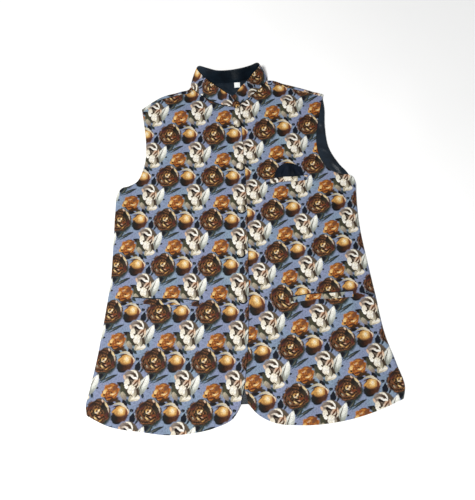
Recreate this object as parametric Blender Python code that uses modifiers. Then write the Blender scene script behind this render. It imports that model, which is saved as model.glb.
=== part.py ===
"""A Nehru jacket laid flat on its back, as closed cloth solids.

The wearer's right front laps over the left one and the stand collar is up.  Lengths are in
millimetres and are turned to metres where a mesh is made.  X runs to the wearer's left, Y to
the collar and Z up.  The tables count from the middle of the line between the underarms.
"""
import math

import bmesh
import bpy
import numpy as np
from mathutils import Matrix, Vector

MM = 0.001
NAME = "nehru_jacket"
CENTRE = (-6.2, -121.0)     # middle of the whole jacket's box, in the tables' X and Y

# Cloth walls and the clear gap between pieces
GAP = 0.3
BACK_WALL = 2.0
LINING_WALL = 1.0
FRONT_WALL = 2.5
COLLAR_WALL = 1.45
WELT_WALL = 1.4
SQUARE_WALL = 1.6
LINING_TOP = BACK_WALL + GAP + LINING_WALL

# How the pieces lie
LAY_GAP = 0.5               # between the fronts and what they lie on
EDGE_ROLL = 5.5             # radius of the fold along side seams and shoulders
UNDERARM = 0.65             # v of the underarm in the side tables
UNDERARM_FADE = (-80.0, -16.0)      # Y over which a side's roll ends
NECK_FADE = (14.0, 44.0)    # distance from the neck corner over which a shoulder's roll starts
BACK_INSET = 4.8            # the back stops short of the fronts' rolled edges
ARMHOLE_INSET = 1.2         # the same, along the armhole that the front covers
COLLAR_SETBACK = 2.1        # from the collar's middle surface to the panels' neck edges
LAP_RAMP = 26.0             # where the upper front climbs on to the lower one
HEM_REST = (-464.0, -490.0)     # Y where the fronts leave the back and reach the floor
PUFF = 3.0                  # air under the middle of each front

# Edge tables: v is the share of the way from hem to shoulder, x and y in millimetres
RIGHT_SIDE = [  # v, x, y: wearer's right, hem corner to underarm to shoulder tip
    (0.000, -317, -464), (0.020, -319, -449), (0.060, -312, -418), (0.140, -299, -362),
    (0.260, -283, -272), (0.380, -272, -200), (0.500, -267, -118), (0.600, -263, -48),
    (0.640, -259, -18), (0.665, -250, -5), (0.700, -233, 0), (0.745, -213, 13),
    (0.790, -200, 46), (0.860, -196, 95), (0.930, -200, 143), (1.000, -205, 182)]
LEFT_SIDE = [   # v, x, y: wearer's left, the same stations
    (0.000, 301, -465), (0.025, 306, -446), (0.080, 296, -402), (0.160, 280, -345),
    (0.280, 269, -258), (0.380, 260, -184), (0.500, 253, -112), (0.600, 253, -40),
    (0.640, 253, -14), (0.662, 248, -2), (0.700, 226, 4), (0.745, 203, 14),
    (0.790, 185, 38), (0.845, 178, 76), (0.910, 184, 122), (1.000, 204, 199)]
RIGHT_EDGE = [  # v, x, y: lapping front edge, hem to neck
    (0.000, -18, -459), (0.050, -9, -424), (0.120, -1, -377), (0.260, 8, -280),
    (0.380, 12, -198), (0.500, 15, -115), (0.655, 17, -8), (0.760, 16, 85), (0.860, 14, 170)]
LEFT_EDGE = [   # v, x, y: covered front edge, hem to neck
    (0.000, -3, -459), (0.050, -9, -424), (0.120, -12, -377), (0.260, -13, -280),
    (0.500, -14, -115), (0.655, -14, -8), (0.760, -14, 85), (0.860, -14, 168)]
RIGHT_HEM = [(-18, -459), (-35, -486), (-68, -500), (-114, -508), (-159, -509),
             (-209, -501), (-277, -486), (-317, -464)]
LEFT_HEM = [(-3, -459), (14, -479), (43, -496), (93, -504), (169, -502), (242, -487), (301, -465)]
RIGHT_SHOULDER = [(-98, 224), (-119, 220), (-158, 211), (-182, 198), (-205, 182)]
LEFT_SHOULDER = [(88, 237), (120, 228), (153, 217), (178, 208), (204, 199)]
BACK_ARMHOLE = [(246, -14), (242, 3), (223, 30), (206, 64), (201, 120), (204, 165), (202, 191)]
BACK_HEM = [(-309, -452), (-150, -457), (-6, -460), (150, -457), (296, -452)]

# The collar's middle surface, from the covered end round the back to the lapping end
COLLAR = [      # seam x, y, z, then top edge x, y, z
    (-14, 177, 4.9, -17, 189, 6.0),     # covered end
    (8, 181, 4.9, -4, 196, 9.5),
    (26, 190, 5.0, 8, 206, 15.0),
    (43, 203, 5.2, 21, 218, 21.0),
    (59, 217, 5.4, 36, 231, 25.0),
    (70, 228, 5.6, 49, 246, 27.0),
    (77, 237, 5.2, 58, 256, 27.5),      # wearer's left side
    (79, 244, 3.2, 62, 262, 29.5),
    (73, 249, 1.6, 57, 266, 32.5),
    (52, 249, 1.2, 43, 258, 35.2),      # back
    (24, 245, 1.2, 21, 250, 38.0),
    (-7, 241, 1.2, -6, 246, 38.5),
    (-38, 240, 1.2, -33, 248, 37.0),
    (-68, 241, 1.2, -56, 258, 34.5),
    (-86, 243, 1.6, -71, 265.5, 31.7),
    (-92, 238, 3.2, -76, 260.5, 28.5),
    (-91, 230, 5.2, -71.5, 253, 26.0),    # wearer's right side
    (-85, 222, 5.6, -62, 243, 24.0),
    (-69, 208, 5.6, -48, 230, 22.0),
    (-45, 192, 6.2, -30, 216, 20.5),
    (-19, 179, 8.6, -17, 206, 18.5),
    (15, 172, 8.7, -2, 198, 15.5)]      # lapping end
LEFT_NECK_ROWS = slice(0, 7)        # the rows of COLLAR that the panels' neck edges follow
BACK_NECK_ROWS = slice(8, 15)
RIGHT_NECK_ROWS = slice(16, 22)
NECK_CENTRE = (-7.0, 214.0)
COLLAR_STEPS = 4            # columns between two rows of COLLAR
COLLAR_ROWS = 5
COLLAR_BOW = 1.2            # the band's middle swells out by this

# The largest folds: soft ridges, each from (x, y) to (x, y)
FOLDS = [       # x, y, x, y, height, half width
    (214, -22, 142, -118, 4.5, 13),     # from the left underarm to the chest
    (142, -118, 128, -190, 2.5, 16),
    (-240, -20, -231, -95, 3.5, 12),    # beside the right underarm
    (-188, 176, -92, 168, 3.0, 16),     # below the right shoulder
    (172, 150, 110, 176, 2.5, 18),      # below the left shoulder
    (-170, 60, -120, -60, 2.0, 22),
    (75, 110, 96, 30, 1.8, 20),
    (60, -330, 92, -470, 3.0, 20),      # from the pocket to the hem
    (206, -330, 232, -455, 2.6, 17),
    (-70, -320, -92, -470, 2.4, 22),
    (-228, -300, -262, -440, 3.0, 16)]

# Pockets: the line of each mouth, (x, y), with the welt below it
CHEST_MOUTH = [(61, -4), (95, 1), (125, 1), (151, 3)]
LEFT_MOUTH = [(92, -259), (128, -254), (180, -253), (222, -252)]
RIGHT_MOUTH = [(-92, -256), (-130, -250), (-180, -247), (-226, -242)]
CHEST_WELT_HEIGHT = 10.0
POCKET_WELT_HEIGHT = 11.0
MOUTH_GAPE = 1.6            # how far a lower welt's top edge stands off the panel
WELT_COLUMNS = 24
SQUARE = {"left": 80.0, "right": 143.0, "height": 32.0, "tuck": 3.0, "end": 5.0}

# Buttons on the lapping front, from the neck down
BUTTONS = [(6, 177), (7, 132), (8, 31), (6, -65), (-1, -160), (-2, -255)]
BUTTON_RADIUS = 8.6
BUTTON_DOME = 4.6
BUTTON_RIM = 1.2
BUTTON_SIDES = 16
NECK_BUTTON_HEIGHT = 13.7   # its seat on the sloping collar end
NECK_BUTTON_TILT = 14.0
LABEL = {"x": 11.5, "y": 231.0, "width": 13.0, "length": 13.0, "wall": 0.6}

PANEL_COLUMNS = 23
PANEL_ROWS = 30
HEM_ROWS = 5
HEM_SHARE = 0.07            # v up to which the rows are closer
ROLL_STEPS = (3.2, 1.6, 0.5, 0.0)   # columns across a rolled edge, distance from its outline
PANEL_WIDTH = 280.0         # what a step of u and of v stands for near the rolled edges
SHOULDER_RUN = 700.0


def clear_scene():
    for thing in list(bpy.data.objects):
        bpy.data.objects.remove(thing, do_unlink=True)


def finish(name, colour, roughness):
    """A plain Principled material."""
    material = bpy.data.materials.new(name)
    material.use_nodes = True
    shader = material.node_tree.nodes["Principled BSDF"]
    shader.inputs["Base Color"].default_value = (*colour, 1.0)
    shader.inputs["Roughness"].default_value = roughness
    shader.inputs["Metallic"].default_value = 0.0
    return material


def curve_at(param, points, at):
    """Points of a smooth curve through the given points, at the given parameters."""
    param, points, at = (np.asarray(a, float) for a in (param, points, at))
    slope = np.gradient(points, param, axis=0)
    i = np.clip(np.searchsorted(param, at, side="right") - 1, 0, len(param) - 2)
    step = (param[i + 1] - param[i])[:, None]
    t = ((at - param[i]) / (param[i + 1] - param[i]))[:, None]
    start, end = points[i], points[i + 1]
    cubic = 2 * t**3 - 3 * t**2
    return (start * (1 + cubic) - end * cubic + step * slope[i] * (t**3 - 2 * t**2 + t)
            + step * slope[i + 1] * (t**3 - t**2))


def shares(points):
    """How far along its polyline each point is, from 0 to 1."""
    run = np.concatenate([[0], np.cumsum(np.linalg.norm(np.diff(points, axis=0), axis=1))])
    return run / run[-1]


def line_at(points, at):
    return curve_at(shares(points), points, at)


def table_at(table, at):
    table = np.array(table, float)
    return curve_at(table[:, 0], table[:, 1:], at)


def smooth_step(value, low, high):
    t = np.clip((np.asarray(value, float) - low) / (high - low), 0.0, 1.0)
    return t * t * (3 - 2 * t)


def nearest(x, y, line):
    """Distance from each (x, y) to a polyline."""
    place = np.stack([x, y], axis=-1)[..., None, :]
    start, run = line[:-1], np.diff(line, axis=0)
    t = np.clip(((place - start) * run).sum(-1) / (run * run).sum(-1), 0, 1)
    return np.linalg.norm(place - start - t[..., None] * run, axis=-1).min(-1)


def neck_edge(rows):
    """A panel's neck edge: the collar's seam, moved out from the middle of the neck."""
    seam = np.array(COLLAR, float)[rows, :2]
    out = seam - NECK_CENTRE
    return seam + COLLAR_SETBACK * out / np.linalg.norm(out, axis=1)[:, None]


class Front:
    """The outline and the lie of one front panel."""

    def __init__(self, side, edge, hem, shoulder, neck):
        self.side, self.edge, self.hem = side, edge, hem
        self.neck = neck
        self.shoulder = [tuple(neck[-1]), *shoulder]
        self.side_line = table_at(side, np.linspace(0, UNDERARM, 60))
        self.shoulder_line = line_at(self.shoulder, np.linspace(0, 1, 30))

    def inner(self, v):
        """The front edge up to the neck corner, then the neck edge up to the shoulder."""
        corner = self.edge[-1][0]
        front = table_at(self.edge, np.minimum(v, corner))
        neck = line_at(self.neck, np.clip((v - corner) / (1 - corner), 0, 1))
        return np.where((v <= corner)[:, None], front, neck)

    def plan(self, u, v):
        """Each grid point's x and y, blended in from the four edges."""
        inner, outer = self.inner(v)[:, None], table_at(self.side, v)[:, None]
        low, high = line_at(self.hem, u)[None], line_at(self.shoulder, u)[None]
        a, b = u[None, :, None], v[:, None, None]
        corners = ((1 - b) * ((1 - a) * inner[0] + a * outer[0])
                   + b * ((1 - a) * inner[-1] + a * outer[-1]))
        return (1 - b) * low + b * high + (1 - a) * inner + a * outer - corners

    def edge_x(self, y):
        """The front edge's x at a height y."""
        table = np.array(self.edge, float)
        return np.interp(y, table[:, 2], table[:, 1])


def fold_height(x, y):
    """The sum of the soft ridges at (x, y)."""
    total = np.zeros(np.broadcast(x, y).shape)
    for x0, y0, x1, y1, height, width in FOLDS:
        run = np.array([x1 - x0, y1 - y0], float)
        along = ((x - x0) * run[0] + (y - y0) * run[1]) / (run @ run)
        across = np.abs((x - x0) * run[1] - (y - y0) * run[0]) / np.linalg.norm(run)
        ends = smooth_step(along, -0.25, 0.3) * (1 - smooth_step(along, 0.7, 1.25))
        total = total + height * ends * np.exp(-((across / width) ** 2))
    return total


def laid_top(front, x, y):
    """Top of a front that lies on the back lining, its rolled edges not yet turned down."""
    rest = LINING_TOP * smooth_step(y, HEM_REST[1], HEM_REST[0])
    inside = smooth_step(nearest(x, y, front.outline), 4.0, 60.0)
    return rest + LAY_GAP + FRONT_WALL + (PUFF + fold_height(x, y)) * inside


def turned(away):
    """The drop of a quarter-round edge at a distance from its outline."""
    left = EDGE_ROLL - np.clip(away, 0, EDGE_ROLL)
    return EDGE_ROLL - np.sqrt(EDGE_ROLL**2 - left**2)


def roll(front, x, y):
    """How far the rolled edges turn down at (x, y)."""
    neck_corner = front.shoulder_line[0]
    from_neck = np.hypot(x - neck_corner[0], y - neck_corner[1])
    side = turned(nearest(x, y, front.side_line)) * (1 - smooth_step(y, *UNDERARM_FADE))
    shoulder = turned(nearest(x, y, front.shoulder_line)) * smooth_step(from_neck, *NECK_FADE)
    return np.maximum(side, shoulder)


def left_top(x, y):
    return laid_top(LEFT, x, y) - roll(LEFT, x, y)


def right_top(x, y):
    """The lapping front: on the lining, and near its edge on the covered front."""
    own = laid_top(RIGHT, x, y)
    covered = laid_top(LEFT, x, y) + LAY_GAP + FRONT_WALL
    start = LEFT.edge_x(y) - 3.0
    on_lap = smooth_step(x, start - LAP_RAMP, start)
    return own + np.maximum(covered - own, 0) * on_lap - roll(RIGHT, x, y)


def outline_of(front):
    """The whole outline of a front as a closed polyline."""
    dense = np.linspace(0, 1, 60)
    hem, side = line_at(front.hem, dense), table_at(front.side, dense)
    shoulder, inner = line_at(front.shoulder, dense), front.inner(dense)
    return np.concatenate([hem[:-1], side[:-1], shoulder[:0:-1], inner[::-1]])


LEFT = Front(LEFT_SIDE, LEFT_EDGE, LEFT_HEM, LEFT_SHOULDER, neck_edge(LEFT_NECK_ROWS))
RIGHT = Front(RIGHT_SIDE, RIGHT_EDGE, RIGHT_HEM, RIGHT_SHOULDER,
              neck_edge(RIGHT_NECK_ROWS)[::-1])
for panel in (LEFT, RIGHT):
    panel.outline = outline_of(panel)


def add(thing, material, collection):
    thing.data.materials.append(material)
    collection.objects.link(thing)
    return thing


def place(points):
    """Table millimetres to world metres."""
    return (np.asarray(points, float) - (*CENTRE, 0.0)) * MM


def cloth(name, points, wall, side, material, collection):
    """Cloth through a grid of points, thickened on one side: 1 outward and -1 inward."""
    rows, columns = points.shape[:2]
    world = place(points)
    mesh = bpy.data.meshes.new(name)
    bm = bmesh.new()
    bmesh.ops.create_grid(bm, x_segments=columns - 1, y_segments=rows - 1, size=0.5)
    for vert in bm.verts:
        column = round((vert.co.x + 0.5) * (columns - 1))
        row = round((vert.co.y + 0.5) * (rows - 1))
        vert.co = Vector(world[row, column])
    bm.to_mesh(mesh)
    bm.free()
    thing = add(bpy.data.objects.new(name, mesh), material, collection)
    solidify = thing.modifiers.new("wall", "SOLIDIFY")
    solidify.thickness = wall * MM
    solidify.offset = side
    solidify.use_even_offset = True
    return thing


def slab(name, outline, bottom, wall, material, collection):
    """Flat cloth with the given outline."""
    curve = bpy.data.curves.new(name, "CURVE")
    curve.dimensions = "2D"
    curve.fill_mode = "BOTH"
    curve.extrude = wall * MM / 2
    spline = curve.splines.new("POLY")
    spline.points.add(len(outline) - 1)
    flat = (outline - CENTRE) * MM
    for point, (x, y) in zip(spline.points, flat):
        point.co = (x, y, 0.0, 1.0)
    spline.use_cyclic_u = True
    thing = add(bpy.data.objects.new(name, curve), material, collection)
    thing.location.z = (bottom + wall / 2) * MM
    return thing


def front(name, panel, top, material, collection):
    near_side = 1 - np.array(ROLL_STEPS) / PANEL_WIDTH
    near_shoulder = 1 - np.array(ROLL_STEPS) / SHOULDER_RUN
    u = np.concatenate([np.linspace(0, 1 - EDGE_ROLL / PANEL_WIDTH, PANEL_COLUMNS), near_side])
    v = np.concatenate([np.linspace(0, HEM_SHARE, HEM_ROWS, endpoint=False),
                        np.linspace(HEM_SHARE, 1 - EDGE_ROLL / SHOULDER_RUN, PANEL_ROWS),
                        near_shoulder])
    plan = panel.plan(u, v)
    points = np.dstack([plan, top(plan[..., 0], plan[..., 1])])
    if points[0, 0, 0] > points[0, -1, 0]:
        points = points[:, ::-1]
    return cloth(name, points, FRONT_WALL, -1, material, collection)


def moved_in(line, distance):
    """A polyline moved to its left."""
    run = np.gradient(line, axis=0)
    normal = np.stack([-run[:, 1], run[:, 0]], axis=1) / np.linalg.norm(run, axis=1)[:, None]
    return line + distance * normal


def back_outline():
    """The back, anticlockwise from its right hem corner."""
    hem = line_at(np.array(BACK_HEM, float), np.linspace(0, 1, 14))
    low = np.linspace(0.03, 0.60, 22)
    left_side = moved_in(table_at(LEFT_SIDE, low), BACK_INSET)
    armhole = line_at(np.array(BACK_ARMHOLE, float), np.linspace(0, 1, 20))
    shoulder = np.linspace(0.97, 0.12, 12)
    left_shoulder = moved_in(line_at(LEFT.shoulder, shoulder), BACK_INSET)
    neck_rows = np.array(COLLAR, float)[BACK_NECK_ROWS, :2]
    neck = moved_in(line_at(neck_rows, np.linspace(0.1, 0.9, 18)), COLLAR_SETBACK)
    right_shoulder = moved_in(line_at(RIGHT.shoulder, shoulder[::-1]), BACK_INSET)
    right_armhole = moved_in(table_at(RIGHT_SIDE, np.linspace(0.98, 0.68, 20)), ARMHOLE_INSET)
    right_side = moved_in(table_at(RIGHT_SIDE, np.linspace(0.63, 0.03, 22)), BACK_INSET)
    return np.concatenate([hem, left_side, armhole, left_shoulder, neck, right_shoulder,
                           right_armhole, right_side])


def collar_points(depth):
    """The collar band's grid, moved outward by depth from its middle surface."""
    table = np.array(COLLAR, float)
    stations = np.arange(len(table))
    at = np.linspace(0, len(table) - 1, (len(table) - 1) * COLLAR_STEPS + 1)
    band = curve_at(stations, table, at)
    t = np.linspace(0, 1, COLLAR_ROWS)[:, None, None]
    middle = (1 - t) * band[None, :, :3] + t * band[None, :, 3:]
    normal = np.cross(np.gradient(middle, axis=1), np.gradient(middle, axis=0))
    normal /= np.linalg.norm(normal, axis=2)[:, :, None]
    return middle + (depth + COLLAR_BOW * np.sin(math.pi * t)) * normal


def collar(name, depth, wall, side, material, collection):
    return cloth(name, collar_points(depth), wall, side, material, collection)


def welt(name, mouth, height, top, lift, material, collection):
    """A strip along a pocket mouth, made from the panel's points and moved out."""
    mouth = np.array(sorted(mouth), float)
    upper = line_at(mouth, np.linspace(0, 1, WELT_COLUMNS + 1))
    share = np.array([1.0, 0.66, 0.33, 0.0])[:, None]
    x = np.broadcast_to(upper[:, 0], (4, len(upper)))
    y = upper[:, 1] - height * share
    z = top(x, y) + GAP + WELT_WALL + lift * smooth_step(1 - share, 0.0, 0.55)
    return cloth(name, np.dstack([x, y, z]), WELT_WALL, -1, material, collection)


def pocket_square(material, collection):
    """A half-round of folded cloth above the chest welt."""
    u = np.linspace(0, 1, 17)
    t = np.linspace(0, 1, 7)[:, None]
    x = SQUARE["left"] + (SQUARE["right"] - SQUARE["left"]) * u
    mouth = line_at(np.array(CHEST_MOUTH, float), np.linspace(0, 1, 30))
    low = np.interp(x, mouth[:, 0], mouth[:, 1]) - SQUARE["tuck"]
    round_top = np.sqrt(np.maximum(1 - (2 * u - 1) ** 2, 0))
    high = SQUARE["end"] + (SQUARE["height"] + SQUARE["tuck"] - SQUARE["end"]) * round_top
    x = np.broadcast_to(x, (7, 17))
    y = low + t * high
    crease = 1.4 * np.exp(-(((x - 116 + (y - 14) * 0.5) / 6) ** 2))
    z = left_top(x, y) + GAP + SQUARE_WALL + crease * smooth_step(y - low, 4, 14)
    return cloth("pocket_square", np.dstack([x, y, z]), SQUARE_WALL, -1, material, collection)


def button(number, x, y, material, collection):
    """A covered button: a domed profile turned round its own axis."""
    name = f"button_{number}"
    on_collar = number == 1
    ring = np.linspace(0, 2 * math.pi, 25)
    under = right_top(x + BUTTON_RADIUS * np.cos(ring), y + BUTTON_RADIUS * np.sin(ring))
    seat = NECK_BUTTON_HEIGHT if on_collar else under.max() + GAP
    turn = np.linspace(math.pi / 2, 0, 5)
    profile = [(BUTTON_RADIUS * math.cos(a), BUTTON_RIM + BUTTON_DOME * math.sin(a)) for a in turn]
    profile[0] = (0.0, BUTTON_RIM + BUTTON_DOME)
    profile += [(BUTTON_RADIUS - 0.8, 0.0), (0.0, 0.0)]
    mesh = bpy.data.meshes.new(name)
    edges = [(i, i + 1) for i in range(len(profile) - 1)]
    mesh.from_pydata([(r * MM, 0.0, z * MM) for r, z in profile], edges, [])
    thing = add(bpy.data.objects.new(name, mesh), material, collection)
    screw = thing.modifiers.new("turn", "SCREW")
    screw.steps = screw.render_steps = BUTTON_SIDES
    screw.use_merge_vertices = True
    screw.merge_threshold = 0.00005
    screw.use_smooth_shade = False
    thing.location = Vector(place((x, y, seat)))
    if on_collar:
        slope = Vector((-0.83, -0.56, 0.0))
        thing.rotation_mode = "QUATERNION"
        thing.rotation_quaternion = Matrix.Rotation(
            math.radians(NECK_BUTTON_TILT), 3, -slope).to_quaternion()
    return thing


def label(material, collection):
    """The bare label on the lining below the back neck seam."""
    mesh = bpy.data.meshes.new("neck_label")
    bm = bmesh.new()
    bmesh.ops.create_cube(bm, size=MM)
    size = (LABEL["width"], LABEL["length"], LABEL["wall"])
    bmesh.ops.scale(bm, vec=size, verts=bm.verts)
    bm.to_mesh(mesh)
    bm.free()
    thing = add(bpy.data.objects.new("neck_label", mesh), material, collection)
    middle = (LABEL["x"], LABEL["y"], LINING_TOP + GAP + LABEL["wall"] / 2)
    thing.location = Vector(place(middle))
    return thing


def build():
    clear_scene()
    parts = bpy.data.collections.new(NAME)
    bpy.context.scene.collection.children.link(parts)
    printed = finish("printed_cloth", (0.27, 0.23, 0.25), 0.6)
    navy = finish("navy_lining", (0.012, 0.02, 0.032), 0.55)
    square = finish("square_cloth", (0.007, 0.009, 0.018), 0.6)
    white = finish("label_cloth", (0.85, 0.86, 0.85), 0.7)

    outline = back_outline()
    slab("back", outline, 0.0, BACK_WALL, printed, parts)
    slab("back_lining", outline, BACK_WALL + GAP, LINING_WALL, navy, parts)
    front("front_left", LEFT, left_top, printed, parts)
    front("front_right", RIGHT, right_top, printed, parts)
    collar("collar", GAP / 2, COLLAR_WALL, 1, printed, parts)
    collar("collar_lining", -GAP / 2, LINING_WALL, -1, navy, parts)
    chest_lift = SQUARE_WALL + GAP
    welt("chest_welt", CHEST_MOUTH, CHEST_WELT_HEIGHT, left_top, chest_lift, printed, parts)
    welt("pocket_welt_left", LEFT_MOUTH, POCKET_WELT_HEIGHT, left_top, MOUTH_GAPE, printed, parts)
    welt("pocket_welt_right", RIGHT_MOUTH, POCKET_WELT_HEIGHT, right_top, MOUTH_GAPE, printed,
         parts)
    pocket_square(square, parts)
    for number, (x, y) in enumerate(BUTTONS, 1):
        button(number, x, y, printed, parts)
    label(white, parts)


build()
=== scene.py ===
"""The looks of a Nehru jacket laid flat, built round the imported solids.

The tables are in millimetres and count from the middle of the line between the underarms: X to
the wearer's left, Y to the collar, Z up.  `place` turns them into the frame's metres.  The print
is charted in repeats: u across the cloth and v down it, from the heart of a white rose.
"""
import math

import bpy
import numpy as np
from mathutils import Matrix, Vector
from mathutils.geometry import delaunay_2d_cdt


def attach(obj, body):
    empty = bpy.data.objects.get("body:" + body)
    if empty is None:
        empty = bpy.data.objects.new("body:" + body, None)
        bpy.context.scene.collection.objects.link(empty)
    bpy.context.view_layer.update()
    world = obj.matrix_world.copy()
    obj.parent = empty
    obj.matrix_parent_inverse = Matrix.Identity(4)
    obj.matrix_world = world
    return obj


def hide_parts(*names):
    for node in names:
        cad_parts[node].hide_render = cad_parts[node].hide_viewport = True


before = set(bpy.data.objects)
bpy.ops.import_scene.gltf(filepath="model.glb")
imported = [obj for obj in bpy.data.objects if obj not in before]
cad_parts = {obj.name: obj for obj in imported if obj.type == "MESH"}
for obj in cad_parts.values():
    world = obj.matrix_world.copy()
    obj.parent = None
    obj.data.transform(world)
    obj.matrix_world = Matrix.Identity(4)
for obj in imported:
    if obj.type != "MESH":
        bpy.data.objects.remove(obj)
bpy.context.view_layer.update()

MM = 0.001
CENTRE = (-6.2, -121.0)  # middle of the jacket's box, in the tables' X and Y
REPEAT = 97.0  # the print's repeat, where it isn't measured on a panel

# Cloth walls and gaps of the solids, whose outer faces the pieces keep
GAP = 0.3
BACK_WALL = 2.0
LINING_WALL = 1.0
FRONT_WALL = 2.5
COLLAR_WALL = 1.45
WELT_WALL = 1.4
SQUARE_WALL = 1.6
LINING_TOP = BACK_WALL + GAP + LINING_WALL

LAY_GAP = 0.5  # between the fronts and what they lie on
EDGE_ROLL = 5.5  # radius of the fold along side seams and shoulders
UNDERARM = 0.65  # v of the underarm in the side tables
UNDERARM_FADE = (-80.0, -16.0)  # Y over which a side's roll ends
NECK_FADE = (14.0, 44.0)  # distance from the neck corner over which a shoulder's roll starts
BACK_INSET = 4.8  # the back stops short of the fronts' rolled edges
ARMHOLE_INSET = 1.2  # the same, along the armhole that the front covers
COLLAR_SETBACK = 2.1  # from the collar's middle surface to the panels' neck edges
LAP_RAMP = 26.0  # over which the upper front climbs on to the lower one
LAP_CLEAR = 3.0  # it is up this far before the lower one's edge
HEM_REST = (-464.0, -490.0)  # Y where the fronts leave the back and reach the floor
PUFF = 3.0  # air under the middle of each front
PUFF_EDGE = (4.0, 60.0)  # distance from its outline over which that starts
LOWEST_TOP = 2.6  # a front's outer face comes no nearer to the floor

RIGHT_SIDE = [  # v, x, y: wearer's right, hem corner to underarm to shoulder tip
    (0, -317, -464), (0.02, -319, -449), (0.06, -312, -418), (0.14, -299, -362),
    (0.26, -283, -272), (0.38, -272, -200), (0.5, -267, -118), (0.6, -263, -48),
    (0.64, -259, -18), (0.665, -250, -5), (0.7, -233, 0), (0.745, -213, 13),
    (0.79, -200, 46), (0.86, -196, 95), (0.93, -200, 143), (1, -205, 182)]
LEFT_SIDE = [  # v, x, y: wearer's left, likewise
    (0, 301, -465), (0.025, 306, -446), (0.08, 296, -402), (0.16, 280, -345),
    (0.28, 269, -258), (0.38, 260, -184), (0.5, 253, -112), (0.6, 253, -40),
    (0.64, 253, -14), (0.662, 248, -2), (0.7, 226, 4), (0.745, 203, 14),
    (0.79, 185, 38), (0.845, 178, 76), (0.91, 184, 122), (1, 204, 199)]
RIGHT_EDGE = [  # v, x, y: lapping front edge, hem to neck
    (0, -18, -459), (0.05, -9, -424), (0.12, -1, -377), (0.26, 8, -280),
    (0.38, 12, -198), (0.5, 15, -115), (0.655, 17, -8), (0.76, 16, 85), (0.86, 14, 170)]
LEFT_EDGE = [  # v, x, y: covered front edge, hem to neck
    (0, -3, -459), (0.05, -9, -424), (0.12, -12, -377), (0.26, -13, -280),
    (0.5, -14, -115), (0.655, -14, -8), (0.76, -14, 85), (0.86, -14, 168)]
RIGHT_HEM = [(-18, -459), (-35, -486), (-68, -500), (-114, -508), (-159, -509),
             (-209, -501), (-277, -486), (-317, -464)]
LEFT_HEM = [(-3, -459), (14, -479), (43, -496), (93, -504), (169, -502), (242, -487), (301, -465)]
RIGHT_SHOULDER = [(-98, 224), (-119, 220), (-158, 211), (-182, 198), (-205, 182)]
LEFT_SHOULDER = [(88, 237), (120, 228), (153, 217), (178, 208), (204, 199)]
BACK_ARMHOLE = [(246, -14), (242, 3), (223, 30), (206, 64), (201, 120), (204, 165), (202, 191)]
BACK_HEM = [(-309, -452), (-150, -457), (-6, -460), (150, -457), (296, -452)]

COLLAR = np.array([  # the collar's middle surface: seam x, y, z, then top edge x, y, z
    (-14, 177, 4.9, -17, 189, 6),  # covered end
    (8, 181, 4.9, -4, 196, 9.5),
    (26, 190, 5, 8, 206, 15),
    (43, 203, 5.2, 21, 218, 21),
    (59, 217, 5.4, 36, 231, 25),
    (70, 228, 5.6, 49, 246, 27),
    (77, 237, 5.2, 58, 256, 27.5),  # wearer's left side
    (79, 244, 3.2, 62, 262, 29.5),
    (73, 249, 1.6, 57, 266, 32.5),
    (52, 249, 1.2, 43, 258, 35.2),  # back
    (24, 245, 1.2, 21, 250, 38),
    (-7, 241, 1.2, -6, 246, 38.5),
    (-38, 240, 1.2, -33, 248, 37),
    (-68, 241, 1.2, -56, 258, 34.5),
    (-86, 243, 1.6, -71, 265.5, 31.7),
    (-92, 238, 3.2, -76, 260.5, 28.5),
    (-91, 230, 5.2, -71.5, 253, 26),  # wearer's right side
    (-85, 222, 5.6, -62, 243, 24),
    (-69, 208, 5.6, -48, 230, 22),
    (-45, 192, 6.2, -30, 216, 20.5),
    (-19, 179, 8.6, -17, 206, 18.5),
    (15, 172, 8.7, -2, 198, 15.5)])  # lapping end
LEFT_NECK_ROWS = slice(0, 7)  # the rows of COLLAR that the panels' neck edges follow
BACK_NECK_ROWS = slice(8, 15)
RIGHT_NECK_ROWS = slice(16, 22)
NECK_CENTRE = (-7.0, 214.0)
COLLAR_BOW = 1.2  # the band's middle swells out by this
COLLAR_STEPS = 16  # columns between two rows of COLLAR
COLLAR_ROWS = 18

FOLDS = [  # the largest folds: x, y, x, y, height, half width
    (214, -22, 142, -118, 4.5, 13),
    (142, -118, 128, -190, 2.5, 16),
    (-240, -20, -231, -95, 3.5, 12),
    (-188, 176, -92, 168, 3, 16),
    (172, 150, 110, 176, 2.5, 18),
    (-170, 60, -120, -60, 2, 22),
    (75, 110, 96, 30, 1.8, 20),
    (60, -330, 92, -470, 3, 20),
    (206, -330, 232, -455, 2.6, 17),
    (-70, -320, -92, -470, 2.4, 22),
    (-228, -300, -262, -440, 3, 16)]

FOLD_ENDS = (-0.25, 0.3, 0.7, 1.25)  # shares of its line over which a fold rises and falls

CHEST_MOUTH = [(61, -4), (95, 1), (125, 1), (151, 3)]
LEFT_MOUTH = [(92, -259), (128, -254), (180, -253), (222, -252)]
RIGHT_MOUTH = [(-92, -256), (-130, -250), (-180, -247), (-226, -242)]
CHEST_WELT_HEIGHT = 10.0
POCKET_WELT_HEIGHT = 11.0
MOUTH_GAPE = 1.6  # how far a lower welt's top edge stands off the panel
SQUARE = {  # its ends' X, height above the mouth, depth below it, height at its ends
    "left": 80, "right": 143, "height": 32, "tuck": 3, "end": 5}
SQUARE_FOLD = {"height": 1.4, "half": 6, "x": 116, "y": 14, "lean": 0.5}

BUTTONS = [(6, 177), (7, 132), (8, 31), (6, -65), (-1, -160), (-2, -255)]
BUTTON_RADIUS = 8.6
BUTTON_DOME = 4.6
BUTTON_RIM = 1.2
NECK_BUTTON_HEIGHT = 13.7
NECK_BUTTON_TILT = 14.0
NECK_BUTTON_AXIS = (0.83, 0.56, 0.0)  # along the collar's seam there
LABEL = {"x": 11.5, "y": 231.0, "side": 13.0, "wall": 0.6, "curl": 0.5}


# ---- shapes of the laid cloth

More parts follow.
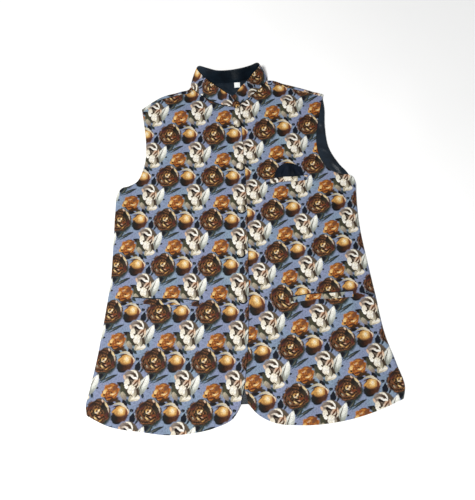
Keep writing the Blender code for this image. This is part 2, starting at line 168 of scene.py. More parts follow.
def curve_at(param, points, at):
    """Points of a smooth curve through the given points, at the given parameters."""
    param, points, at = (np.asarray(a, float) for a in (param, points, at))
    slope = np.gradient(points, param, axis=0)
    i = np.clip(np.searchsorted(param, at, side="right") - 1, 0, len(param) - 2)
    step = (param[i + 1] - param[i])[:, None]
    t = ((at - param[i]) / (param[i + 1] - param[i]))[:, None]
    start, end = points[i], points[i + 1]
    cubic = 2 * t**3 - 3 * t**2
    return (start * (1 + cubic) - end * cubic + step * slope[i] * (t**3 - 2 * t**2 + t)
            + step * slope[i + 1] * (t**3 - t**2))


def shares(points):
    """How far along its polyline each point is, from 0 to 1."""
    run = np.concatenate([[0], np.cumsum(np.linalg.norm(np.diff(points, axis=0), axis=1))])
    return run / run[-1]


def line_at(points, at):
    return curve_at(shares(points), points, at)


def table_at(table, at):
    table = np.array(table, float)
    return curve_at(table[:, 0], table[:, 1:], at)


def smooth_step(value, low, high):
    t = np.clip((np.asarray(value, float) - low) / (high - low), 0.0, 1.0)
    return t * t * (3 - 2 * t)


def nearest(x, y, line):
    """Distance from each (x, y) to a polyline."""
    best = np.full(np.broadcast(x, y).shape, np.inf)
    for (x0, y0), (x1, y1) in zip(line[:-1], line[1:]):
        run_x, run_y = x1 - x0, y1 - y0
        t = np.clip(((x - x0) * run_x + (y - y0) * run_y) / (run_x**2 + run_y**2), 0, 1)
        best = np.minimum(best, np.hypot(x - x0 - t * run_x, y - y0 - t * run_y))
    return best


def neck_edge(rows):
    """A panel's neck edge: the collar's seam, moved out from the middle of the neck."""
    seam = COLLAR[rows, :2]
    out = seam - NECK_CENTRE
    return seam + COLLAR_SETBACK * out / np.linalg.norm(out, axis=1)[:, None]


class Front:
    """The outline and the lie of one front panel."""

    def __init__(self, side, edge, hem, shoulder, neck):
        self.side, self.edge, self.hem, self.neck = side, edge, hem, neck
        self.shoulder = [tuple(neck[-1]), *shoulder]
        self.side_line = table_at(side, np.linspace(0, UNDERARM, 60))
        self.shoulder_line = line_at(self.shoulder, np.linspace(0, 1, 30))
        self.outline = self.whole_outline()

    def inner(self, v):
        """The front edge up to the neck corner, then the neck edge up to the shoulder."""
        corner = self.edge[-1][0]
        front = table_at(self.edge, np.minimum(v, corner))
        neck = line_at(self.neck, np.clip((v - corner) / (1 - corner), 0, 1))
        return np.where((v <= corner)[:, None], front, neck)

    def plan(self, u, v):
        """Each grid point's x and y, blended in from the four edges."""
        inner, outer = self.inner(v)[:, None], table_at(self.side, v)[:, None]
        low, high = line_at(self.hem, u)[None], line_at(self.shoulder, u)[None]
        a, b = u[None, :, None], v[:, None, None]
        corners = ((1 - b) * ((1 - a) * inner[0] + a * outer[0])
                   + b * ((1 - a) * inner[-1] + a * outer[-1]))
        return (1 - b) * low + b * high + (1 - a) * inner + a * outer - corners

    def edge_x(self, y):
        """The front edge's x at a height y."""
        table = np.array(self.edge, float)
        return np.interp(y, table[:, 2], table[:, 1])

    def whole_outline(self):
        """The whole outline as a closed polyline."""
        dense = np.linspace(0, 1, 60)
        hem, side = line_at(self.hem, dense), table_at(self.side, dense)
        shoulder, inner = line_at(self.shoulder, dense), self.inner(dense)
        return np.concatenate([hem[:-1], side[:-1], shoulder[:0:-1], inner[::-1]])


LEFT = Front(LEFT_SIDE, LEFT_EDGE, LEFT_HEM, LEFT_SHOULDER, neck_edge(LEFT_NECK_ROWS))
RIGHT = Front(RIGHT_SIDE, RIGHT_EDGE, RIGHT_HEM, RIGHT_SHOULDER,
              neck_edge(RIGHT_NECK_ROWS)[::-1])

# Finer creases than the solids have: from (x, y) to (x, y), bent aside by bow
CREASES = [  # x, y, x, y, bow, height, half width
    (240, -24, 172, -84, 6, 4.6, 5.5),  # drawn from the left underarm
    (230, -48, 156, -134, -7, -2.2, 6.5),
    (240, -72, 176, -150, -5, 3.6, 6),
    (246, -70, 214, -170, 4, 1.2, 7),
    (182, 44, 140, 10, 5, 1.1, 6),
    (-244, -10, -232, -118, -6, 4.4, 5.5),  # drawn from the right underarm
    (-232, -2, -218, -96, 4, -2, 5),
    (-216, 0, -198, -104, 6, 3, 6.5),
    (-204, 52, -168, 16, -5, 1, 6),
    (-196, 156, -110, 152, 4, 2.6, 7),  # below the right shoulder
    (-178, 172, -88, 204, 5, -2.4, 6),
    (-160, 190, -96, 214, 3, 2.4, 5.5),
    (190, 176, 112, 206, 4, -2, 6),  # below the left shoulder
    (182, 160, 110, 190, 4, 2.4, 6),
    (176, 136, 122, 152, -4, -1.5, 7),
    (222, -256, 276, -252, 0, -1.8, 2.4),  # on from the left pocket to the side
    (-112, 120, -40, 64, 7, -0.9, 9),  # slack across the chest
    (-150, 20, -60, -50, -8, 0.8, 10),
    (52, 120, 92, 40, 6, -1, 8),
    (40, 20, 76, -60, -6, 0.8, 9),
    (-40, -40, -110, -110, 8, -0.9, 10),
    (30, -120, 104, -200, -9, -0.9, 11),
    (-200, -150, -150, -232, 7, 0.9, 10),
    (212, -170, 180, -236, -6, 0.9, 9),
    (-88, -262, -76, -312, 3, -1.2, 6),  # from the pockets' ends
    (-222, -252, -240, -300, -4, -1.2, 6),
    (92, -266, 84, -320, -3, -1.1, 6),
    (220, -262, 236, -318, 4, -1.1, 6),
    (-120, -300, -136, -400, -6, 0.9, 12),
    (-188, -330, -196, -460, 5, -1, 11),
    (-44, -340, -52, -450, 4, -1.2, 9),
    (30, -310, 40, -430, -5, -1.3, 9),
    (140, -330, 160, -470, 7, 1, 12),
    (262, -330, 276, -440, -4, -1, 9),
    (-270, -330, -292, -430, 4, 0.9, 8)]
CREASE_ENDS = (-0.1, 0.35, 0.55, 1.1)  # as FOLD_ENDS
STEEP_SIDE = 0.6  # half width of a crease's steep side, as a share of the other's
FINE_EDGE = (1.5, 16.0)  # distance from its outline over which a front's finer creases start
SHOULDER_SEAM = 8.0  # the seam lies this far in front of the shoulder's fold
SEAM_DIP = (1.0, 1.5)  # its depth and half width
BUTTON_PULLS = 3  # small creases that run from each button below the collar
PULL_FAN = {  # headings in degrees, lengths, bow, heights and half width
    "start": 6, "from": 200, "apart": 22, "turn": 0.1, "reach": 26, "longer": 9,
    "bow": 1.5, "height": 0.55, "lower": 0.35, "half": 3.2}
RIPPLES = 26  # low waves that keep the cloth from lying dead flat
RIPPLE_HEIGHT = 0.10
RIPPLE_LENGTHS = (16.0, 90.0)
LINING_RIPPLE = 0.06
LINING_CREASES = {  # in the armhole and the neck, where the lining is seen
    "back": [],
    "back_lining": [
        (242, -8, 208, 46, 4, 4.2, 3.6), (226, 22, 198, 88, -3, 3.6, 3.4),
        (210, 66, 192, 150, 3, 3.6, 3.2), (202, 108, 188, 188, -2, 3, 3),
        (236, 0, 202, 22, 3, 2.6, 2.8), (206, 58, 184, 68, -2, 2.4, 2.6),
        (200, 124, 184, 130, 1, 2.2, 2.4), (202, 164, 182, 154, 1, 2, 2.6),
        (-60, 216, 36, 208, -6, 1.6, 3.5), (-34, 230, 12, 192, 3, 1.4, 3),
        (-20, 206, 30, 222, 4, 1.2, 3)]}
BACK_SPACING = 4.5  # between the points inside the back and its lining
BACK_EDGE = 0.6  # the rounding of its edge
LINING_FADE = (0.0, 4.0)  # distance from a front over which the lining's creases start
BACK_FADE = (0.0, 9.0)  # and from the back's own outline


def lie(x, y, x0, y0, x1, y1):
    """How far along a line each (x, y) is, from 0 to 1, and how far to its left."""
    run = np.array([x1 - x0, y1 - y0], float)
    along = ((x - x0) * run[0] + (y - y0) * run[1]) / (run @ run)
    return along, ((y - y0) * run[0] - (x - x0) * run[1]) / np.linalg.norm(run)


def swell(along, rise_from, rise_to, fall_from, fall_to):
    """1 along the middle of a line, and less towards its ends."""
    return smooth_step(along, rise_from, rise_to) * (1 - smooth_step(along, fall_from, fall_to))


def fold_height(x, y):
    """The sum of the soft ridges at (x, y)."""
    total = np.zeros(np.broadcast(x, y).shape)
    for *line, height, width in FOLDS:
        along, across = lie(x, y, *line)
        total = total + height * swell(along, *FOLD_ENDS) * np.exp(-((across / width) ** 2))
    return total


def crease_height(x, y, rows):
    """Fine creases: each is a bent line, steeper on one side than on the other."""
    total = np.zeros(np.broadcast(x, y).shape)
    for *line, bow, height, width in rows:
        along, across = lie(x, y, *line)
        across = across - bow * 4 * along * (1 - along)
        spread = np.where(across > 0, width, STEEP_SIDE * width)
        total = total + height * swell(along, *CREASE_ENDS) * np.exp(-((across / spread) ** 2))
    return total


def ripple(x, y, height, seed):
    """Low waves of many lengths and directions."""
    draw = np.random.default_rng(seed)
    total = np.zeros(np.broadcast(x, y).shape)
    for _ in range(RIPPLES):
        length = draw.uniform(*RIPPLE_LENGTHS)
        heading = draw.uniform(0, math.pi)
        phase = draw.uniform(0, 2 * math.pi)
        wave = 2 * math.pi / length * (x * math.cos(heading) + y * math.sin(heading)) + phase
        total = total + height * (length / RIPPLE_LENGTHS[1]) ** 0.5 * np.sin(wave)
    return total


def laid_top(front, x, y):
    """Top of a front that lies on the back lining, its rolled edges not yet turned down."""
    rest = LINING_TOP * smooth_step(y, HEM_REST[1], HEM_REST[0])
    inside = smooth_step(nearest(x, y, front.outline), *PUFF_EDGE)
    return rest + LAY_GAP + FRONT_WALL + (PUFF + fold_height(x, y)) * inside


def turned(away):
    """The drop of a quarter-round edge at a distance from its outline."""
    left = EDGE_ROLL - np.clip(away, 0, EDGE_ROLL)
    return EDGE_ROLL - np.sqrt(EDGE_ROLL**2 - left**2)


def roll(front, x, y):
    """How far the rolled edges turn down at (x, y)."""
    neck_corner = front.shoulder_line[0]
    from_neck = np.hypot(x - neck_corner[0], y - neck_corner[1])
    side = turned(nearest(x, y, front.side_line)) * (1 - smooth_step(y, *UNDERARM_FADE))
    shoulder = turned(nearest(x, y, front.shoulder_line)) * smooth_step(from_neck, *NECK_FADE)
    return np.maximum(side, shoulder)


def left_top(x, y):
    return laid_top(LEFT, x, y) - roll(LEFT, x, y)


def right_top(x, y):
    """The lapping front: on the lining, and near its edge on the covered front."""
    own = laid_top(RIGHT, x, y)
    covered = laid_top(LEFT, x, y) + LAY_GAP + FRONT_WALL
    start = LEFT.edge_x(y) - LAP_CLEAR
    on_lap = smooth_step(x, start - LAP_RAMP, start)
    return own + np.maximum(covered - own, 0) * on_lap - roll(RIGHT, x, y)


def pulls():
    """Small creases that fan out towards the wearer's right from the buttons below the collar."""
    fan, rows = PULL_FAN, []
    for x, y in BUTTONS[1:]:
        for number in range(BUTTON_PULLS):
            heading = math.radians(fan["from"] - fan["apart"] * number + fan["turn"] * y)
            reach = fan["reach"] + fan["longer"] * number
            end = (x + reach * math.cos(heading), y + reach * math.sin(heading))
            height = fan["height"] - fan["lower"] * number
            rows.append((x - fan["start"], y, *end, fan["bow"], height, fan["half"]))
    return rows


def finer(front, x, y):
    """What the pieces add to the solids' height: creases and ripples, less at the edges."""
    inside = smooth_step(nearest(x, y, front.outline), *FINE_EDGE)
    waves = crease_height(x, y, CREASES) + crease_height(x, y, pulls())
    depth, half = SEAM_DIP
    seam = depth * np.exp(-(((nearest(x, y, front.shoulder_line) - SHOULDER_SEAM) / half) ** 2))
    return inside * (waves + ripple(x, y, RIPPLE_HEIGHT, seed=3)) - seam


# ---- pieces

def place(points):
    """Table millimetres to the frame's metres."""
    return (np.asarray(points, float) - (*CENTRE, 0.0)) * MM


def set_up(thing, **settings):
    for name, value in settings.items():
        setattr(thing, name, value)
    return thing


def link(name, data):
    """A new object in the scene."""
    thing = bpy.data.objects.new(name, data)
    bpy.context.scene.collection.objects.link(thing)
    return thing


def add(node, mesh, materials):
    """A piece of the part, in the place of a solid."""
    piece = link(mesh.name, mesh)
    for material in materials:
        mesh.materials.append(material)
    mesh.shade_smooth()
    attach(piece, "root")
    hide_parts(node)
    return piece


def sheet(node, mesh, materials, thickness, edge, lined=False, rim=0):
    """A piece of cloth, thickened downwards, with rounded edges and perhaps a lined inner side."""
    piece = add(node, mesh, materials)
    set_up(piece.modifiers.new("wall", "SOLIDIFY"), thickness=thickness * MM, offset=-1.0,
           use_quality_normals=True, material_offset=int(lined), material_offset_rim=rim)
    set_up(piece.modifiers.new("edge", "BEVEL"), width=edge * MM, segments=3,
           limit_method="ANGLE", angle_limit=math.radians(55))


def grid_faces(rows, columns, closed=False, first=0):
    """The quads of a grid whose points count from first, row by row."""
    index = first + np.arange(rows * columns).reshape(rows, columns)
    if closed:
        index = np.concatenate([index, index[:, :1]], axis=1)
    corners = [index[:-1, :-1], index[:-1, 1:], index[1:, 1:], index[1:, :-1]]
    return np.stack(corners, axis=-1).reshape(-1, 4).tolist()


def cloth_mesh(node, points, chart, faces=None):
    """A mesh through a grid of points or with its own faces, and the print's coordinates on it."""
    mesh = bpy.data.meshes.new(f"{node}_cloth")
    faces = faces or grid_faces(*points.shape[:2])
    mesh.from_pydata(place(points).reshape(-1, 3).tolist(), [], faces)
    layer = mesh.attributes.new("chart", "FLOAT_VECTOR", "POINT")
    layer.data.foreach_set("vector", np.asarray(chart, np.float32).ravel())
    return mesh


def charted(u, v, beyond=-1.0):
    """The print's coordinates; beyond is above 0 only past a shoulder's seam."""
    return np.dstack(np.broadcast_arrays(u, v, beyond))


# Where the print lies: a rose's heart at (x, y) is the chart's (column, row)
PRINTS = {  # x, y, column, row, repeat across, repeat down, lean across, lean down
    "front_right": [(-191.3, -22.1, 0, 1, 96.7, 97.1, -4.0, -2.9),
                    (-229.2, -406.4, 0, 5, 99.0, 96.7, -7.1, -3.3)],
    "front_left": [(127.6, -12.1, 0, 0, 98.0, 91.5, 1.6, 5.5),
                   (150.4, -389.6, 0, 4, 103.3, 93.4, 1.8, 5.4)]}
POCKET_JUMP = {  # the line where the print passes from the upper to the lower rows, its ends
    "front_right": (RIGHT_MOUTH[::-1], -226.0, -92.0), "front_left": (LEFT_MOUTH, 92.0, 290.0)}
NECK_EASE = {"front_right": 0.05, "front_left": 0.10}  # how far the print rises near the neck
NECK_EASE_FROM = ((50.0, 195.0), (40.0, 190.0))  # Y over which it starts, |x| over which it ends
JUMP_DROP = 5.0  # that line lies below the pocket's mouth
JUMP_HALF = (2.5, 20.0)  # half the width of the change, under a welt and away from it


def chart_from(row, x, y):
    heart_x, heart_y, column, down, across, along, lean_u, lean_v = row
    u_turn, v_turn = math.radians(lean_u), math.radians(lean_v)
    dx, dy = x - heart_x, y - heart_y
    u = column + (dx * math.cos(u_turn) + dy * math.sin(u_turn)) / across
    v = down + (dx * math.sin(v_turn) - dy * math.cos(v_turn)) / along
    return np.stack([u, v], axis=-1)


def panel_chart(node, x, y):
    """The print's u and v on a front, whose upper and lower parts are drawn a little apart."""
    upper, lower = (chart_from(row, x, y) for row in PRINTS[node])
    mouth, start, end = POCKET_JUMP[node]
    level = np.interp(x, *np.array(mouth, float).T) - JUMP_DROP
    half = JUMP_HALF[0] + (JUMP_HALF[1] - JUMP_HALF[0]) * smooth_step(
        np.maximum(start - x, x - end), -4.0, 20.0)
    share = smooth_step((level - y) / half, -1.0, 1.0)[..., None]
    chart = upper * (1 - share) + lower * share
    (low, high), (near, far) = NECK_EASE_FROM
    ease = NECK_EASE[node] * smooth_step(y, low, high) * (1 - 0.7 * smooth_step(np.abs(x), near, far))
    return chart[..., 0], chart[..., 1] + ease


PANEL_COLUMNS = 92
PANEL_ROWS = 236
ROLL_COLUMNS = (4.6, 3.8, 3.0, 2.2, 1.5, 0.9, 0.4, 0.1, 0.0)  # distances from a rolled outline
SEAM_ROWS = (10.6, 9.5, 8.7, 8.0, 7.3, 6.5, 5.5)
FRONT_EDGE = 0.9  # the rounding of its edges
PANEL_WIDTH = 280.0  # a front's rough width, which spreads the columns beside its side
PANEL_LENGTH = 700.0
SEAM_START = 12.0  # distance from the shoulder where the closer rows begin


def front(node, panel, top, materials):
    near_side = 1 - np.array(ROLL_COLUMNS) / PANEL_WIDTH
    near_shoulder = 1 - np.array(SEAM_ROWS + ROLL_COLUMNS) / PANEL_LENGTH
    u = np.concatenate([np.linspace(0, 1 - EDGE_ROLL / PANEL_WIDTH, PANEL_COLUMNS), near_side])
    v = np.concatenate([np.linspace(0, 1 - SEAM_START / PANEL_LENGTH, PANEL_ROWS), near_shoulder])
    plan = panel.plan(u, v)
    if plan[0, 0, 0] > plan[0, -1, 0]:
        plan = plan[:, ::-1]
    x, y = plan[..., 0], plan[..., 1]
    height = np.maximum(top(x, y) + finer(panel, x, y), LOWEST_TOP)
    beyond = SHOULDER_SEAM - nearest(x, y, panel.shoulder_line)
    mesh = cloth_mesh(node, np.dstack([plan, height]), charted(*panel_chart(node, x, y), beyond / 100.0))
    sheet(node, mesh, materials, FRONT_WALL - GAP, FRONT_EDGE, lined=True)


def moved_in(line, distance):
    """A polyline moved to its left."""
    run = np.gradient(line, axis=0)
    normal = np.stack([-run[:, 1], run[:, 0]], axis=1) / np.linalg.norm(run, axis=1)[:, None]
    return line + distance * normal


def back_outline():
    """The back, anticlockwise from its right hem corner, from the same edges as its solid."""
    def inset(table, start, end, count, distance=BACK_INSET):
        return moved_in(table_at(table, np.linspace(start, end, count)), distance)

    def shoulder(panel, start, end):
        return moved_in(line_at(panel.shoulder, np.linspace(start, end, 24)), BACK_INSET)

    neck = line_at(COLLAR[BACK_NECK_ROWS, :2], np.linspace(0.1, 0.9, 40))
    return np.concatenate([
        line_at(BACK_HEM, np.linspace(0, 1, 80)), inset(LEFT_SIDE, 0.03, 0.60, 90),
        line_at(BACK_ARMHOLE, np.linspace(0, 1, 50)), shoulder(LEFT, 0.97, 0.12),
        moved_in(neck, COLLAR_SETBACK), shoulder(RIGHT, 0.12, 0.97),
        inset(RIGHT_SIDE, 0.98, 0.68, 50, ARMHOLE_INSET), inset(RIGHT_SIDE, 0.63, 0.03, 90)])


def inside(x, y, outline):
    """Whether each (x, y) lies inside a closed outline."""
    crossings = np.zeros(x.shape, int)
    for (x0, y0), (x1, y1) in zip(outline, np.roll(outline, -1, axis=0)):
        if y0 != y1:
            crossings += ((y0 > y) != (y1 > y)) & (x < x0 + (y - y0) * (x1 - x0) / (y1 - y0))
    return crossings % 2 == 1


def back(node, bottom, thickness, bumps, material):
    """The back or its lining: flat underneath, with soft creases on top of the lining."""
    outline = back_outline()
    steps = [np.arange(low, high, BACK_SPACING)
             for low, high in zip(outline.min(axis=0), outline.max(axis=0))]
    x, y = (grid.ravel() for grid in np.meshgrid(*steps))
    closed = np.concatenate([outline, outline[:1]])
    kept = inside(x, y, outline) & (nearest(x, y, closed) > 0.6 * BACK_SPACING)
    plan = np.concatenate([outline, np.column_stack([x, y])[kept]])
    edges = [(i, (i + 1) % len(outline)) for i in range(len(outline))]
    corners, _, faces, _, _, _ = delaunay_2d_cdt([Vector(at) for at in plan], edges, [], 1, 1e-5)
    x, y = np.array(corners).T
    creases = crease_height(x, y, LINING_CREASES[node])
    for panel in (LEFT, RIGHT):
        covered = inside(x, y, panel.outline)
        creases = creases * smooth_step(nearest(x, y, panel.outline), *LINING_FADE) * ~covered
    waves = bumps * ripple(x, y, 1.0, seed=8) + creases
    away = smooth_step(nearest(x, y, closed), *BACK_FADE)
    height = bottom + thickness + away * np.maximum(waves, 0)
    points = np.column_stack([x, y, height])
    mesh = cloth_mesh(node, points, charted(x / REPEAT, -y / REPEAT), faces)
    sheet(node, mesh, [material], thickness - 0.05, min(BACK_EDGE, 0.4 * thickness))


# The collar's print: station along COLLAR where the chart's u is that of a bud
COLLAR_BUDS = [(2.80, 0.893), (20.10, 4.945)]
COLLAR_LEVEL = (0.57, 32.0)  # the bud's v, and its height above the seam
COLLAR_BACK = (6.5, 16.5)  # stations between which the lining is drawn over the upper edge


def collar_points(depth):
    """The collar band's grid, moved outward by depth from its middle surface."""
    last = len(COLLAR) - 1
    at = np.linspace(0, last, last * COLLAR_STEPS + 1)
    band = curve_at(np.arange(last + 1), COLLAR, at)
    t = np.linspace(0, 1, COLLAR_ROWS)[:, None, None]
    middle = (1 - t) * band[None, :, :3] + t * band[None, :, 3:]
    normal = np.cross(np.gradient(middle, axis=1), np.gradient(middle, axis=0))
    normal /= np.linalg.norm(normal, axis=2)[:, :, None]
    return middle + (depth + COLLAR_BOW * np.sin(math.pi * t)) * normal, at


def collar(node, depth, thickness, materials):
    """A band whose outer face lies depth outside the middle surface."""
    points, at = collar_points(depth)
    run = shares(points[COLLAR_ROWS // 2])
    (first, low), (last, high) = COLLAR_BUDS
    start, end = np.interp([first, last], at, run)
    u = low + (high - low) * (run - start) / (end - start)
    height = np.linspace(0, 1, COLLAR_ROWS)[:, None] * np.linalg.norm(points[-1] - points[0], axis=1)
    v = COLLAR_LEVEL[0] + (COLLAR_LEVEL[1] - height) / REPEAT
    mesh = cloth_mesh(node, points, charted(u, v))
    at_back = (at[:-1] > COLLAR_BACK[0]) & (at[:-1] < COLLAR_BACK[1])
    mesh.polygons.foreach_set("material_index", np.tile(at_back, COLLAR_ROWS - 1).astype(int))
    sheet(node, mesh, materials, thickness, 0.45 * thickness, rim=1)


WELT_COLUMNS = 90
WELT_ROWS = 12
WELT_EDGE = 0.55
WELT_LIFT_END = 0.55  # share of its height over which a welt rises to its upper edge
WELT_PRINTS = {  # the chart's u and v at the corner near the wearer's right, cut across the grain
    "chest_welt": (-0.01, -0.33, True), "pocket_welt_left": (0.11, 0.17, False),
    "pocket_welt_right": (-0.03, 0.375, False)}
SLIT = [(0.5, 0.25), (1.3, 0.85), (2.0, 1.0)]  # the lining in the mouth: beyond the edge, sunk by


def welt(node, mouth, height, top, lift, materials):
    """A welt below a pocket's mouth: its upper edge stands off the panel and shows some lining."""
    upper = line_at(sorted(mouth), np.linspace(0, 1, WELT_COLUMNS + 1))
    share = np.linspace(1, 0, WELT_ROWS)
    below = np.concatenate([height * share, [-beyond for beyond, _ in SLIT]])[:, None]
    rise = lift * smooth_step(1 - share, 0.0, WELT_LIFT_END)
    rise = np.concatenate([rise, [lift * (1 - sunk) for _, sunk in SLIT]])[:, None]
    x = np.broadcast_to(upper[:, 0], (len(below), len(upper)))
    y = upper[:, 1] - below
    z = top(x, y) + GAP + WELT_WALL + rise
    u, v, across_grain = WELT_PRINTS[node]
    along, down = (x - x.min()) / REPEAT, below / REPEAT
    if across_grain:
        along, down = down, along
    mesh = cloth_mesh(node, np.dstack([x, y, z]), charted(u + along, v + down))
    lining = np.zeros((len(below) - 1, WELT_COLUMNS), int)
    lining[WELT_ROWS - 1:] = 1
    mesh.polygons.foreach_set("material_index", lining.ravel())
    sheet(node, mesh, materials, WELT_WALL, WELT_EDGE, lined=True)


SQUARE_CREASES = [  # x, y, x, y, bow, height, half width
    (92, 2, 104, 24, 2, 1.8, 2.6), (110, 0, 112, 26, -2, 2, 2.2), (126, 2, 122, 24, 2, 1.6, 2.6),
    (138, 2, 130, 16, -1, 1.6, 2), (98, 20, 124, 27, 3, 1.2, 2)]


def pocket_square(material):
    """A half-round of folded cloth above the chest welt."""
    columns, rows = 64, 34
    u = np.linspace(0, 1, columns)
    x = SQUARE["left"] + (SQUARE["right"] - SQUARE["left"]) * u
    low = np.interp(x, *line_at(CHEST_MOUTH, np.linspace(0, 1, 30)).T) - SQUARE["tuck"]
    round_top = np.sqrt(np.maximum(1 - (2 * u - 1) ** 2, 0))
    high = SQUARE["end"] + (SQUARE["height"] + SQUARE["tuck"] - SQUARE["end"]) * round_top
    x = np.broadcast_to(x, (rows, columns))
    y = low + np.linspace(0, 1, rows)[:, None] * high
    across = x - SQUARE_FOLD["x"] + (y - SQUARE_FOLD["y"]) * SQUARE_FOLD["lean"]
    fold = SQUARE_FOLD["height"] * np.exp(-((across / SQUARE_FOLD["half"]) ** 2))
    z = left_top(x, y) + GAP + SQUARE_WALL + fold * smooth_step(y - low, 4, 14)
    folds = np.abs(ripple(x, y, 0.12, seed=5)) + crease_height(x, y, SQUARE_CREASES)
    z = z + smooth_step(y - low, 3, 12) * folds
    mesh = cloth_mesh("pocket_square", np.dstack([x, y, z]), charted(x / REPEAT, -y / REPEAT))
    sheet("pocket_square", mesh, [material], SQUARE_WALL, 0.6)


BUTTON_PRINTS = [  # the chart's u and v at each button's middle
    (0.36, 0.50), (0.078, 0.20), (0.07, 0.185), (0.085, 0.21), (0.072, 0.195), (0.08, 0.205)]
BUTTON_SIDES = 48
BUTTON_SKIRT = [  # radius and height of the rings below the dome's rim, from the middle out
    (0.2, 0.0), (0.5 * BUTTON_RADIUS, 0.0), (BUTTON_RADIUS - 1.0, 0.02),
    (BUTTON_RADIUS - 0.35, 0.3), (BUTTON_RADIUS - 0.05, 0.75)]
# Painted shadow: a dark roll that lies below each button, where its shade falls.
PAINTED_SHADOW_ROLL = {  # its headings in degrees, how far beyond the button, how thick, and its grid
    "from": 196.0, "to": 344.0, "out": 0.9, "thick": 1.9, "steps": 28, "sides": 8}


def round_points(radius, angle, height):
    """Points at a radius, angle and height about Z."""
    points = np.broadcast_arrays(radius * np.cos(angle), radius * np.sin(angle), height)
    return np.dstack(points).reshape(-1, 3)


def button(number, x, y, materials):
    """A covered button, a dome of cloth with its rim tucked under, and a dark roll below it as painted
    shadow.
    """
    on_collar = number == 1
    ring = np.linspace(0, 2 * math.pi, 25)
    under = right_top(x + BUTTON_RADIUS * np.cos(ring), y + BUTTON_RADIUS * np.sin(ring))
    seat = NECK_BUTTON_HEIGHT if on_collar else under.max() + GAP
    rise = np.radians(np.linspace(0, 88.5, 14))
    dome = np.column_stack([BUTTON_RADIUS * np.cos(rise), BUTTON_RIM + BUTTON_DOME * np.sin(rise)])
    profile = np.concatenate([BUTTON_SKIRT, dome])
    angle = np.linspace(0, 2 * math.pi, BUTTON_SIDES, endpoint=False)
    local = round_points(profile[:, :1], angle, profile[:, 1:])
    faces = grid_faces(len(profile), BUTTON_SIDES, closed=True)
    faces.append(list(range(BUTTON_SIDES))[::-1])
    faces.append(list(range(len(local) - BUTTON_SIDES, len(local))))
    covered = len(faces)
    # Below every button but the collar's, a dark roll of painted shadow.
    if not on_collar:
        faces += grid_faces(PAINTED_SHADOW_ROLL["steps"], PAINTED_SHADOW_ROLL["sides"], closed=True, first=len(local))
        local = np.concatenate([local, painted_shadow_roll()])
    u, v = BUTTON_PRINTS[number - 1]
    chart = charted(u + local[:, 0] / REPEAT, v - local[:, 1] / REPEAT)
    if on_collar:
        tilt = Matrix.Rotation(math.radians(NECK_BUTTON_TILT), 3, Vector(NECK_BUTTON_AXIS))
        local = local @ np.array(tilt).T
    node = f"button_{number}"
    mesh = cloth_mesh(node, local + (x, y, seat), chart, faces)
    # Painted shadow: the roll's faces take the second, dark material.
    mesh.polygons.foreach_set("material_index", [int(i >= covered) for i in range(len(faces))])
    add(node, mesh, materials)


def painted_shadow_roll():
    """Painted shadow below a button: a thin dark bent roll with pointed ends."""
    share = np.linspace(0, 1, PAINTED_SHADOW_ROLL["steps"])
    heading = np.radians(PAINTED_SHADOW_ROLL["from"] + (PAINTED_SHADOW_ROLL["to"] - PAINTED_SHADOW_ROLL["from"]) * share)
    thick = PAINTED_SHADOW_ROLL["thick"] * np.sqrt(np.sin(math.pi * np.clip(share, 0.004, 0.996)))[:, None]
    turn = np.linspace(0, 2 * math.pi, PAINTED_SHADOW_ROLL["sides"], endpoint=False)
    radius = BUTTON_RADIUS + PAINTED_SHADOW_ROLL["out"] + thick * np.cos(turn)
    return round_points(radius, heading[:, None], 0.2 + 0.55 * thick * np.sin(turn))


def label(material):
    """The bare label on the lining below the back neck seam, curling a little."""
    steps = 14
    u = np.linspace(-0.5, 0.5, steps)
    v = u[:, None]
    x = LABEL["x"] + LABEL["side"] * np.broadcast_to(u, (steps, steps))
    y = LABEL["y"] + LABEL["side"] * np.broadcast_to(v, (steps, steps))
    curl = LABEL["curl"] * (0.5 - v) ** 2 + 0.15 * np.cos(7 * u)
    z = LINING_TOP + GAP + LABEL["wall"] + curl
    mesh = cloth_mesh("neck_label", np.dstack([x, y, z]), charted(x / REPEAT, -y / REPEAT))
    sheet("neck_label", mesh, [material], 0.4, 0.15)


# ---- materials

def linear(red, green, blue):
    """An 8-bit colour as the renderer's linear one."""
    values = np.array([red, green, blue]) / 255.0
    return (*np.where(values <= 0.04045, values / 12.92, ((values + 0.055) / 1.055) ** 2.4), 1.0)


INKS = {name: linear(*rgb) for name, rgb in {
    "lavender": (122, 129, 156), "blue": (116, 132, 154), "sky": (127, 146, 160),
    "white": (227, 224, 216), "cream": (209, 200, 180), "bone": (162, 153, 131),
    "ash": (112, 103, 88), "taupe": (83, 72, 59), "bark": (52, 43, 32), "olive": (60, 57, 40),
    "ink": (16, 14, 13), "umber": (58, 38, 22), "rust": (110, 58, 27), "brick": (90, 41, 27),
    "peach": (193, 158, 130), "shell": (187, 171, 155), "dusk": (122, 110, 101),
    "frost": (209, 211, 203), "mist": (135, 139, 131), "amber": (168, 107, 44),
    "orange": (146, 80, 29), "gold": (184, 137, 72), "butter": (222, 192, 133),
    "copper": (106, 68, 44), "plum": (52, 32, 34), "leaf": (34, 44, 38),
    "moss": (50, 58, 47), "navy": (14, 18, 29), "pine": (20, 25, 25), "teal": (43, 59, 68),
    "chestnut": (65, 36, 20), "walnut": (34, 20, 13)}.items()}


